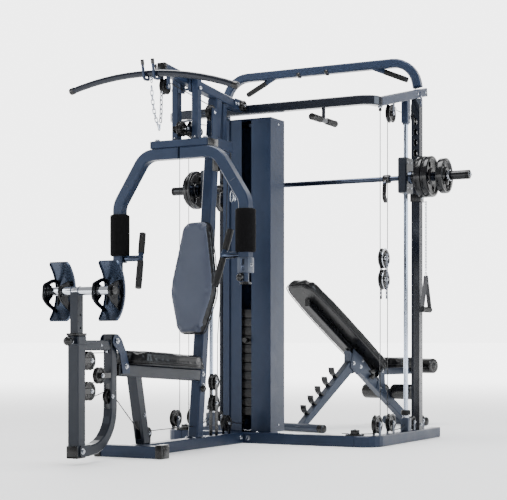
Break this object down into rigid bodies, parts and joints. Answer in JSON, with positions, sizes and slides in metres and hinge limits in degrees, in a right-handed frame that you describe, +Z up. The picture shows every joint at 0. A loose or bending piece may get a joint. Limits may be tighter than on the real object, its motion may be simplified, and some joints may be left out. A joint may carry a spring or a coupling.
{
  "type": "multi station home gym",
  "caption": "Multi station home gym: leg and press seat station, shrouded weight stack, Smith bar cage with pull-up arch and side cables, and a separate adjustable bench.",
  "frame": {"origin": "on the floor under the crossing of the seat station's centreline and the front base rail's centreline", "axes": "+X along the Smith bar, +Y from the seat station towards the cage and the bench, +Z up"},
  "size_m": [1.9, 3.825, 2.21],
  "materials": {
    "blue_frame": "dark blue-grey powder coat, satin",
    "black_metal": "black powder coat, satin",
    "black_vinyl": "black vinyl upholstery with a fine grain",
    "foam": "soft black foam, matt",
    "chrome": "polished",
    "iron": "black hammered paint",
    "black_plastic": "black moulded nylon",
    "cable": "black sheath over wire rope",
    "chain": "zinc plated",
    "red_plastic": "moulded knob",
    "strap": "grey webbing with a rubber grip"
  },
  "bodies": {
    "frame": {"back_pad": "black_vinyl", "base_frame": "blue_frame", "base_left_rail": "blue_frame", "base_right_rail": "blue_frame", "lat_boom": "blue_frame", "lat_cable": "chain", "left_guide_rod": "chrome", "left_lower_cable": "cable", "left_post": "blue_frame", "left_upper_cable": "cable", "leg_cable": "cable", "main_mast": "blue_frame", "pull_up_arch": "blue_frame", "resting_plates": "iron", "right_guide_rod": "chrome", "right_lower_cable": "cable", "right_post": "blue_frame", "right_upper_cable": "cable", "seat_beam": "blue_frame", "seat_pad": "black_vinyl", "stack_cable": "cable", "stack_frame": "chrome", "top_front_beam": "blue_frame", "top_left_rail": "blue_frame", "top_right_rail": "blue_frame", "weight_shroud": "blue_frame"},
    "lat_pulley": {"lat_pulley": "black_plastic"},
    "lat_bar": {"lat_bar": "black_metal"},
    "press_hanger": {"press_hanger": "blue_frame"},
    "left_arm": {"left_press_arm": "blue_frame", "left_foam_roller": "foam"},
    "right_arm": {"right_press_arm": "blue_frame", "right_foam_roller": "foam"},
    "leg_frame": {"leg_frame": "blue_frame"},
    "press_lever": {"press_lever": "blue_frame"},
    "foot_post": {"foot_post": "chrome"},
    "foot_post_knob": {"foot_post_knob": "black_plastic"},
    "left_foot_plate": {"left_foot_plate": "black_metal"},
    "right_foot_plate": {"right_foot_plate": "black_metal"},
    "smith_carriage": {"left_slider": "black_plastic", "right_slider": "black_plastic"},
    "smith_bar": {"smith_bar": "chrome"},
    "left_large_plate": {"left_large_plate": "iron"},
    "left_small_plate": {"left_small_plate": "iron"},
    "right_large_plate": {"right_large_plate": "iron"},
    "right_small_plate": {"right_small_plate": "iron"},
    "lifted_plates": {"lifted_plates": "iron"},
    "selector_pin": {"selector_pin": "red_plastic"},
    "left_base_pulley": {"left_base_pulley": "black_plastic"},
    "right_base_pulley": {"right_base_pulley": "black_plastic"},
    "left_float_block": {"left_float_block": "black_plastic"},
    "right_float_block": {"right_float_block": "black_plastic"},
    "strap_handle": {"strap_handle": "strap"},
    "bench": {"bench_frame": "blue_frame"},
    "bench_back": {"bench_back_frame": "blue_frame", "bench_back_pad": "black_vinyl"},
    "bench_seat": {"bench_seat_frame": "blue_frame", "bench_seat_pad": "black_vinyl"},
    "bench_lower_rollers": {"bench_lower_rollers": "foam"},
    "bench_upper_rollers": {"bench_upper_rollers": "foam"}
  },
  "joints": [
    {"name": "smith_lift", "type": "slide", "parent": "frame", "child": "smith_carriage", "axis": [0, 0, 1], "range_m": [-1, 0.19]},
    {"name": "smith_turn", "type": "hinge", "parent": "smith_carriage", "child": "smith_bar", "pos_m": [0.1625, 0.435, 1.485], "axis": [1, 0, 0], "range_deg": [-30, 60]},
    {"name": "left_large_slide", "type": "slide", "parent": "smith_bar", "child": "left_large_plate", "axis": [-1, 0, 0], "range_m": [0, 0.1]},
    {"name": "left_small_slide", "type": "slide", "parent": "left_large_plate", "child": "left_small_plate", "axis": [-1, 0, 0], "range_m": [0, 0.02]},
    {"name": "right_large_slide", "type": "slide", "parent": "smith_bar", "child": "right_large_plate", "axis": [1, 0, 0], "range_m": [-0.04, 0.1]},
    {"name": "right_small_slide", "type": "slide", "parent": "right_large_plate", "child": "right_small_plate", "axis": [1, 0, 0], "range_m": [-0.04, 0.02]},
    {"name": "stack_lift", "type": "slide", "parent": "frame", "child": "lifted_plates", "axis": [0, 0, 1], "range_m": [0, 0.9], "deforming": ["stack_cable"]},
    {"name": "pin_pull", "type": "slide", "parent": "lifted_plates", "child": "selector_pin", "axis": [0, -1, 0], "range_m": [0, 0.05]},
    {"name": "press_swing", "type": "hinge", "parent": "frame", "child": "press_hanger", "pos_m": [0, -0.6, 1.886], "axis": [-1, 0, 0], "range_deg": [0, 25]},
    {"name": "left_fly", "type": "hinge", "parent": "press_hanger", "child": "left_arm", "pos_m": [-0.145, -0.655, 1.545], "axis": [0, 0, 1], "range_deg": [0, 75]},
    {"name": "right_fly", "type": "hinge", "parent": "press_hanger", "child": "right_arm", "pos_m": [0.145, -0.655, 1.545], "axis": [0, 0, -1], "range_deg": [0, 75]},
    {"name": "leg_swing", "type": "hinge", "parent": "frame", "child": "leg_frame", "pos_m": [0, -1.313, 0.57], "axis": [-1, 0, 0], "range_deg": [0, 45], "deforming": ["leg_cable"]},
    {"name": "leg_press", "type": "hinge", "parent": "leg_frame", "child": "press_lever", "pos_m": [0, -1.59, 0.062], "axis": [1, 0, 0], "range_deg": [0, 30]},
    {"name": "foot_post_slide", "type": "slide", "parent": "press_lever", "child": "foot_post", "axis": [0, 0, 1], "range_m": [-0.1, 0.1]},
    {"name": "knob_pull", "type": "slide", "parent": "press_lever", "child": "foot_post_knob", "axis": [0, -1, 0], "range_m": [0, 0.02]},
    {"name": "left_foot_tilt", "type": "hinge", "parent": "foot_post", "child": "left_foot_plate", "pos_m": [0, -1.59, 0.8], "axis": [1, 0, 0], "range_deg": [-15, 15]},
    {"name": "right_foot_tilt", "type": "hinge", "parent": "foot_post", "child": "right_foot_plate", "pos_m": [0, -1.59, 0.8], "axis": [1, 0, 0], "range_deg": [-15, 15]},
    {"name": "lat_lift", "type": "slide", "parent": "frame", "child": "lat_bar", "axis": [0, 0, 1], "range_m": [0, 0.075]},
    {"name": "lat_pulley_spin", "type": "hinge", "parent": "frame", "child": "lat_pulley", "pos_m": [0, -0.815, 1.866], "axis": [1, 0, 0], "continuous": true},
    {"name": "left_pulley_spin", "type": "hinge", "parent": "frame", "child": "left_base_pulley", "pos_m": [-0.47, 0.0665, 0.121], "axis": [1, 0, 0], "continuous": true},
    {"name": "right_pulley_spin", "type": "hinge", "parent": "frame", "child": "right_base_pulley", "pos_m": [0.795, 0.0665, 0.121], "axis": [1, 0, 0], "continuous": true},
    {"name": "left_block_lift", "type": "slide", "parent": "frame", "child": "left_float_block", "axis": [0, 0, 1], "range_m": [0, 0.3], "deforming": ["left_upper_cable", "left_lower_cable"]},
    {"name": "right_block_lift", "type": "slide", "parent": "frame", "child": "right_float_block", "axis": [0, 0, 1], "range_m": [0, 0.3], "deforming": ["right_upper_cable", "right_lower_cable"]},
    {"name": "handle_swing", "type": "hinge", "parent": "frame", "child": "strap_handle", "pos_m": [0.85, 0.655, 1.375], "axis": [1, 0, 0], "range_deg": [-30, 30]},
    {"name": "bench_slide", "type": "slide", "parent": "frame", "child": "bench", "axis": [0.2974, 0.9548, 0], "range_m": [-0.25, 0.3]},
    {"name": "bench_back_tilt", "type": "hinge", "parent": "bench", "child": "bench_back", "pos_m": [0.1045, 1.7208, 0.373], "axis": [-0.9548, 0.2974, 0], "range_deg": [0, 40]},
    {"name": "bench_seat_tilt", "type": "hinge", "parent": "bench", "child": "bench_seat", "pos_m": [0.1045, 1.7208, 0.373], "axis": [0.9548, -0.2974, 0], "range_deg": [0, 15]},
    {"name": "lower_roller_spin", "type": "hinge", "parent": "bench", "child": "bench_lower_rollers", "pos_m": [0.1396, 1.8335, 0.232], "axis": [0.9548, -0.2974, 0], "continuous": true},
    {"name": "upper_roller_spin", "type": "hinge", "parent": "bench_seat", "child": "bench_upper_rollers", "pos_m": [0.2028, 2.0364, 0.4026], "axis": [0.9548, -0.2974, 0], "continuous": true}
  ]
}
